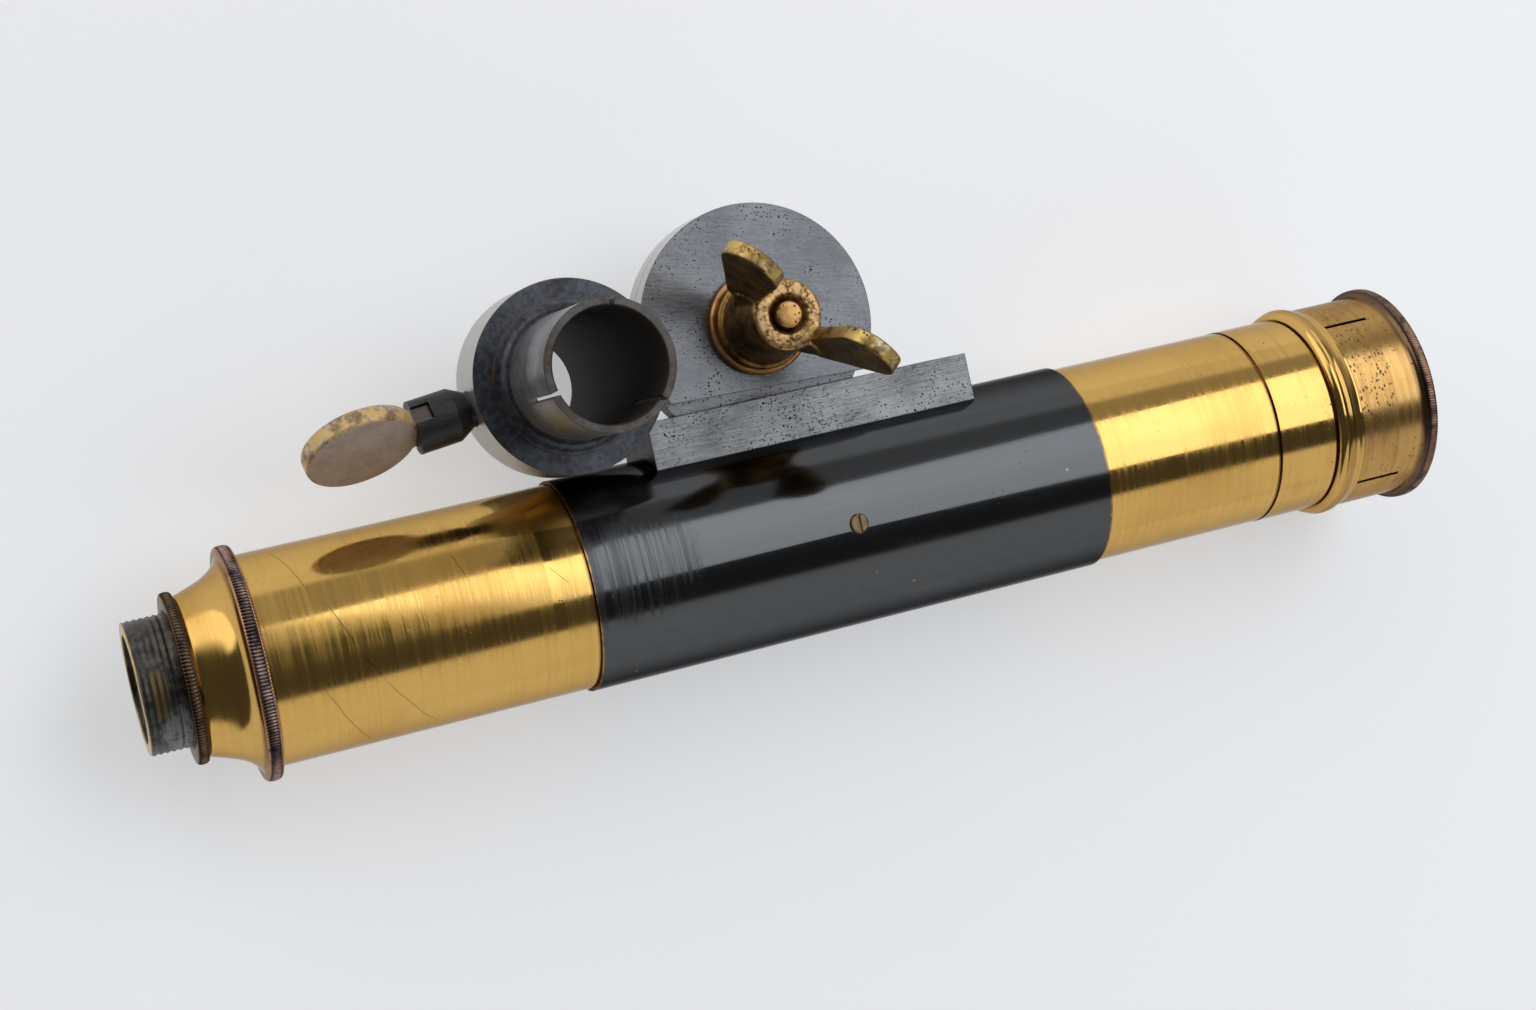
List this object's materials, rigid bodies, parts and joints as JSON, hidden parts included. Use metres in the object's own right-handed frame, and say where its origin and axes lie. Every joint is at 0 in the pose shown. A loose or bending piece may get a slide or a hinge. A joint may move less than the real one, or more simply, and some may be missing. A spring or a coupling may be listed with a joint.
{
  "type": "cathetometer",
  "caption": "Brass telescope in a black jacket on a swivelling clamp that slides on an upright rod, with a wing nut, a thumb screw and sliding focus tubes.",
  "frame": {"origin": "on the axis of the rod bore, level with the telescope's axis", "axes": "+X along the telescope towards the objective, +Z along the rod bore towards the sleeve's sawn mouth, +Y from the telescope towards the clamp"},
  "size_m": [0.2427, 0.0801, 0.0665],
  "materials": {
    "lacquered_brass": "lacquered, worn",
    "old_brass": "tarnished, bright at the edges",
    "bronze": "browned",
    "dark_brass": "darkened",
    "blackened_brass": "matt black",
    "black_lacquer": "gloss black lacquer on brass",
    "blackened_iron": "blued, pitted",
    "browned_steel": "browned, worn at the edges",
    "worn_steel": "worn, pitted",
    "lens_glass": "polished"
  },
  "bodies": {
    "clamp": {"rod_collar": "blackened_iron", "clamp_disc": "blackened_iron", "split_sleeve": "browned_steel"},
    "telescope": {"jacket": "black_lacquer", "saddle_bar": "worn_steel", "lug_disc": "blackened_iron", "pivot_stud": "old_brass", "jacket_screw": "worn_steel", "fixed_tube": "lacquered_brass", "moulded_ring": "lacquered_brass", "baffle_ring": "blackened_brass"},
    "washer": {"clamp_washer": "old_brass"},
    "wing_nut": {"wing_nut": "old_brass"},
    "pad": {"clamp_pad": "old_brass"},
    "thumb_screw": {"thumb_shank": "browned_steel", "thumb_head": "bronze"},
    "objective": {"objective_sleeve": "lacquered_brass", "flint_lens": "lens_glass", "crown_lens": "lens_glass", "objective_lock_ring": "blackened_brass"},
    "draw_tube": {"draw_tube": "lacquered_brass", "eyepiece_holder": "lacquered_brass", "wire_ring": "blackened_brass", "cross_wires": "worn_steel"},
    "eyepiece": {"eyepiece_barrel": "dark_brass", "eye_lens": "lens_glass", "lens_spacer": "blackened_brass", "field_lens": "lens_glass", "field_lock_ring": "blackened_brass"}
  },
  "joints": [
    {"name": "swivel", "type": "hinge", "parent": "clamp", "child": "telescope", "pos_m": [0.0378, 0.0024, 0.004], "axis": [0, 0, 1], "range_deg": [-0.3, 3]},
    {"name": "washer_lift", "type": "slide", "parent": "telescope", "child": "washer", "axis": [0, 0, 1], "range_m": [0, 0.0021]},
    {"name": "wing_nut_turn", "type": "hinge", "parent": "washer", "child": "wing_nut", "pos_m": [0.0378, 0.0024, 0.0106], "axis": [0, 0, 1], "range_deg": [0, 722]},
    {"name": "pad_slide", "type": "slide", "parent": "clamp", "child": "pad", "axis": [-0.9942, -0.108, 0], "range_m": [0, 0.0012]},
    {"name": "thumb_screw_turn", "type": "hinge", "parent": "pad", "child": "thumb_screw", "pos_m": [-0.0173, -0.00188, 0.011], "axis": [-0.9942, -0.108, 0], "range_deg": [0, 434]},
    {"name": "draw_tube_slide", "type": "slide", "parent": "telescope", "child": "draw_tube", "axis": [-1, 0, 0], "range_m": [-0.016, 0.012]},
    {"name": "eyepiece_slide", "type": "slide", "parent": "draw_tube", "child": "eyepiece", "axis": [-1, 0, 0], "range_m": [0, 0.008]},
    {"name": "objective_slide", "type": "slide", "parent": "telescope", "child": "objective", "axis": [1, 0, 0], "range_m": [0, 0.007]}
  ],
  "couplings": [
    {"joint": "wing_nut_turn", "follows": "washer_lift", "rad_per_m": 5984},
    {"joint": "thumb_screw_turn", "follows": "pad_slide", "rad_per_m": 6283.2}
  ]
}
